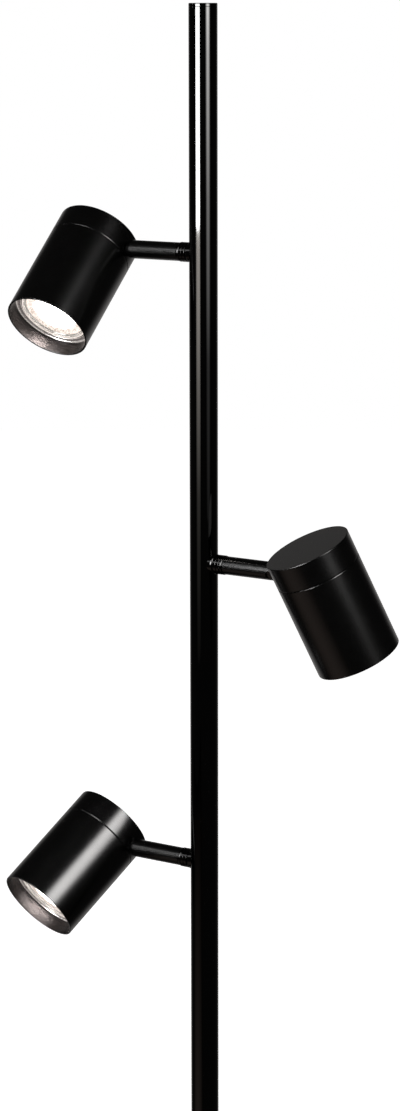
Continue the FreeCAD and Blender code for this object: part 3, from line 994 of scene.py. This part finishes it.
def make_lens(spot):
    """Front glass with a shallow crown, a pressed pattern of pebbles and a plain border."""
    reach = spot.reach("bulb_lens")
    points, faces = [], []
    for ring in range(lens_rings + 1):
        radius = reach.radius * ring / lens_rings
        for x, y in circle(radius, lens_sides):
            height = reach.low + lens_crown * (radius / reach.radius) ** 2
            if radius < reach.radius - lens_border:
                waves = 0.0
                for turn in pebble_headings:
                    heading = math.radians(turn)
                    along = x * math.cos(heading) + y * math.sin(heading)
                    waves += math.cos(math.tau * along / pebble_pitch)
                height += pebble_depth * (1 + waves / len(pebble_headings)) / 2
            points.append(Vector((x, y, height)))
            if ring == 0:
                break
    edge = len(points) - lens_sides
    for x, y in circle(reach.radius, lens_sides):
        points.append(Vector((x, y, reach.high)))
    points.append(Vector((0, 0, reach.high)))
    for side in range(lens_sides):
        after = (side + 1) % lens_sides
        faces.append((0, 1 + after, 1 + side))
        for ring in range(1, lens_rings + 1):
            inner = 1 + (ring - 1) * lens_sides
            outer = inner + lens_sides
            faces.append((inner + side, inner + after, outer + after, outer + side))
        faces.append((edge + lens_sides + side, edge + lens_sides + after, len(points) - 1))
    piece = put("front_glass_" + spot.name, points, faces, spot.head)
    smooth(piece)
    piece.data.set_sharp_from_angle(angle=math.radians(sharp_angle))
    dress(piece, "head_" + spot.name, "bulb_lens_glass", "bulb_lens_" + spot.name)


def make_ring(spot):
    """Polished ring between the bulb's rim and the tube."""
    reach = spot.reach("bulb_ring")
    bead_inner = reach.radius - 2 * ring_bead_radius - hairline
    outline = [
        corner(reach.bore, reach.high, fine_edge),
        corner(reach.bore, reach.low + ring_recess_inner, fine_edge),
        corner(bead_inner, reach.low + ring_recess_outer), corner(bead_inner, reach.low, ring_bead_radius),
        corner(reach.radius, reach.low, ring_bead_radius), corner(reach.radius, reach.high, fine_edge),
    ]
    piece = turned("trim_ring_" + spot.name, outline, head_sides, spot.head)
    dress(piece, "head_" + spot.name, "bright_ring", "bulb_ring_" + spot.name)


# Camera, as fitted to the outlines in the photograph
image_height = 1111
camera_distance = 2.07433
camera_height = 1.54444
camera_azimuth = 34.9035
camera_pitch = 10.3635
camera_yaw = -0.0777
camera_roll = -0.1207
focal_pixels = 2976.73
sensor_millimetres = 36.0

# Floor, and the radii between which its glow goes from painted shade to white
floor_radius = 9.0
floor_sides = 96
shaded_radius = 0.35
white_radius = 1.75

# Light from above, which shades the floor
overhead_size = 2.6
overhead_power = 95.0
overhead_place = (0.4, -0.5, 3.4)

# The studio in reflections: dark, and lighter within a cone behind the lamp
behind_azimuth = -147.0
behind_elevation = -20.0
behind_cosines = (0.60, 0.95)
behind_radiance = 0.40
dark_radiance = 0.024

# Light panels: shares of brightness from edge to edge, and the share that a second reflection keeps
panel_distance = 2.0
second_bounce_share = 0.2
even_shares = ((0.0, 1.0), (1.0, 1.0))
soft_shares = ((0.0, 0.0), (0.35, 0.85), (0.5, 1.0), (0.65, 0.85), (1.0, 0.0))
key_shares = ((0.0, 1.0), (0.4, 1.0), (0.6, 0.3), (1.0, 0.2))
spill_across_shares = ((0.0, 0.8), (0.3, 1.0), (0.55, 1.0), (0.8, 0.75), (1.0, 0.3))
spill_shares = (
    (0.0, 0.01), (0.12, 0.02), (0.28, 0.05), (0.39, 0.08), (0.50, 0.19), (0.61, 0.32), (0.71, 0.48),
    (0.82, 0.68), (0.96, 0.83), (1.0, 1.0),
)
side_shares = ((0.0, 0.01), (0.09, 0.03), (0.18, 0.2), (0.26, 0.55), (0.30, 1.0), (0.72, 1.0), (1.0, 0.0))
key_azimuth = -9.5
key_width = 1.238
key_low = 1.25
key_high = 3.1
spill_low = 0.65
side_low = 0.85
side_high = 3.3
collar_low = 1.57
collar_high = 2.2
panels = {
    "key_panel": {
        "azimuth": key_azimuth, "aim": (0.0, 0.0, (key_low + key_high) / 2),
        "size": (key_width, key_high - key_low), "radiance": 32.0,
        "across_shares": even_shares, "up_shares": key_shares,
    },
    "key_spill": {
        "azimuth": key_azimuth, "aim": (0.0, 0.0, (key_low + spill_low) / 2),
        "size": (key_width, key_low - spill_low), "radiance": 7.3,
        "across_shares": spill_across_shares, "up_shares": spill_shares, "tint": (1.0, 0.94, 0.87),
    },
    "side_panel": {
        "azimuth": 73.0, "aim": (0.0, 0.0, (side_low + side_high) / 2),
        "size": (1.35, side_high - side_low), "radiance": 19.0,
        "up_shares": side_shares, "tint": (1.0, 0.985, 0.97),
    },
    "arm_panel": {
        "azimuth": -42.0, "elevation": 26.0, "aim": (0.0, 0.0, 1.16), "size": (1.0, 0.55), "radiance": 2.2,
    },
    "collar_panel": {
        "azimuth": -56.0, "aim": (0.0, 0.0, (collar_low + collar_high) / 2),
        "size": (0.62, collar_high - collar_low), "radiance": 18.0,
    },
    "low_panel": {
        "azimuth": -30.0, "elevation": -43.0, "distance": 1.2, "aim": (0.1, 0.0, 1.1),
        "size": (1.7, 1.1), "radiance": 0.3, "tint": (1.0, 0.80, 0.70),
    },
}


def direction(azimuth, elevation):
    """Unit vector to an azimuth, which is zero towards minus Y, and an elevation."""
    turn, rise = math.radians(azimuth), math.radians(elevation)
    return Vector((math.sin(turn) * math.cos(rise), -math.cos(turn) * math.cos(rise), math.sin(rise)))


def make_floor():
    """Plain pale floor: its glow is painted weaker round the base, where the overhead light also shades it,
    and white further out.
    """
    rim = [(x, y, 0.0) for x, y in circle(floor_radius, floor_sides)]
    floor = put("floor", rim, [tuple(range(floor_sides))])
    tree = Finish("floor_paint", Roughness=0.9, Specular_IOR_Level=0.0, Emission_Color=(1.0, 1.0, 1.0, 1.0))
    tree.paint(tree.noise(3.0, detail=5.0), (0.74, 0.74, 0.74), (0.78, 0.78, 0.78))
    # Painted shade: the floor's own glow is weakest round the base and rises to white further out
    tree.to(tree.ramp(tree.away(), shaded_radius, white_radius, 0.12, 1.0), "Emission Strength")
    floor.data.materials.append(tree.material)
    floor.visible_glossy = False
    floor.visible_diffuse = False
    return floor


def make_surroundings():
    """White to the camera; to reflections a dark studio, a little lighter behind the lamp."""
    world = bpy.data.worlds.new("studio")
    bpy.context.scene.world = world
    tree = Tree(world)
    seen = tree.nodes["Background"]
    seen.inputs["Color"].default_value = (1.0, 1.0, 1.0, 1.0)
    seen.inputs["Strength"].default_value = 1.0
    felt = tree.nodes.new("ShaderNodeBackground")
    felt.inputs["Color"].default_value = (1.0, 0.97, 0.95, 1.0)
    dot = tree.nodes.new("ShaderNodeVectorMath")
    dot.operation = "DOT_PRODUCT"
    dot.inputs[1].default_value = direction(behind_azimuth, behind_elevation)
    tree.links.new(tree.where["Generated"], dot.inputs[0])
    radiance = tree.ramp(dot.outputs["Value"], *behind_cosines, dark_radiance, behind_radiance)
    radiance.node.interpolation_type = "SMOOTHSTEP"
    tree.links.new(radiance, felt.inputs["Strength"])
    ray = tree.nodes.new("ShaderNodeLightPath")
    choose = tree.nodes.new("ShaderNodeMixShader")
    tree.links.new(ray.outputs["Is Camera Ray"], choose.inputs[0])
    tree.links.new(felt.outputs[0], choose.inputs[1])
    tree.links.new(seen.outputs[0], choose.inputs[2])
    tree.links.new(choose.outputs[0], tree.nodes["World Output"].inputs[0])


def make_panel(
    name, azimuth, aim, size, radiance, elevation=0.0, distance=panel_distance,
    across_shares=soft_shares, up_shares=soft_shares, tint=(1.0, 1.0, 1.0),
):
    """Light panel that only reflections see, which faces its aim and is brightest where its shares say."""
    away = direction(azimuth, elevation)
    across = away.cross(Vector((0, 0, 1))).normalized()
    corners = []
    for x, y in ((-1, -1), (1, -1), (1, 1), (-1, 1)):
        corners.append((x * size[0] / 2, y * size[1] / 2, 0))
    panel = put(name, corners, [(0, 1, 2, 3)], place_at(Vector(aim) + away * distance, across, -away))
    material = bpy.data.materials.new(name)
    tree = Tree(material)
    tree.nodes.remove(tree.nodes["Principled BSDF"])
    split = tree.nodes.new("ShaderNodeSeparateXYZ")
    tree.links.new(tree.where["Generated"], split.inputs[0])
    sideways = tree.follow(split.outputs["X"], across_shares)
    upwards = tree.follow(split.outputs["Y"], up_shares)
    ray = tree.nodes.new("ShaderNodeLightPath")
    fading = tree.ramp(ray.outputs["Ray Depth"], 1.0, 2.0, radiance, radiance * second_bounce_share)
    glow = tree.nodes.new("ShaderNodeEmission")
    glow.inputs["Color"].default_value = (*tint, 1.0)
    tree.links.new(tree.product(sideways, upwards, fading), glow.inputs["Strength"])
    tree.links.new(glow.outputs[0], tree.nodes["Material Output"].inputs["Surface"])
    panel.data.materials.append(material)
    panel.visible_camera = False
    panel.visible_diffuse = False
    panel.visible_shadow = False


def make_overhead_light(floor):
    """Soft light from above, which shades the floor alone."""
    light = bpy.data.lights.new("overhead", "AREA")
    light.shape = "DISK"
    light.size = overhead_size
    light.energy = overhead_power
    lamp = bpy.data.objects.new("overhead", light)
    lamp.location = overhead_place
    lamp.rotation_euler = (-Vector(overhead_place)).to_track_quat("-Z", "Y").to_euler()
    lamp.visible_glossy = False
    lamp.visible_camera = False
    bpy.context.scene.collection.objects.link(lamp)
    receivers = bpy.data.collections.new("lit_by_overhead")
    receivers.objects.link(floor)
    lamp.light_linking.receiver_collection = receivers


def make_camera():
    """Camera at the photograph's place, for an image of 400 by 1111 pixels."""
    camera = bpy.data.cameras.new("camera")
    camera.sensor_fit = "AUTO"
    camera.sensor_width = sensor_millimetres
    camera.lens = sensor_millimetres * focal_pixels / image_height
    holder = bpy.data.objects.new("camera", camera)
    stand = direction(camera_azimuth, 0.0) * camera_distance
    stand.z = camera_height
    heading = Matrix.Rotation(math.radians(camera_azimuth - camera_yaw), 4, "Z")
    pitch = Matrix.Rotation(math.radians(90.0 - camera_pitch), 4, "X")
    roll = Matrix.Rotation(math.radians(camera_roll), 4, "Z")
    holder.matrix_world = Matrix.Translation(stand) @ heading @ pitch @ roll
    bpy.context.scene.collection.objects.link(holder)
    bpy.context.scene.camera = holder


finish_cad_nodes()
make_pole()
make_base()
for spot in spots:
    make_saddle(spot)
    make_collar(spot)
    make_arm(spot)
    make_head_shell(spot)
    make_head_lid(spot)
    make_bulb(spot)
    make_bowl(spot)
    make_capsule(spot)
    make_lens(spot)
    make_ring(spot)
floor = make_floor()
make_surroundings()
for name, panel in panels.items():
    make_panel(name, **panel)
make_overhead_light(floor)
make_camera()
bpy.context.scene.view_settings.view_transform = "Standard"
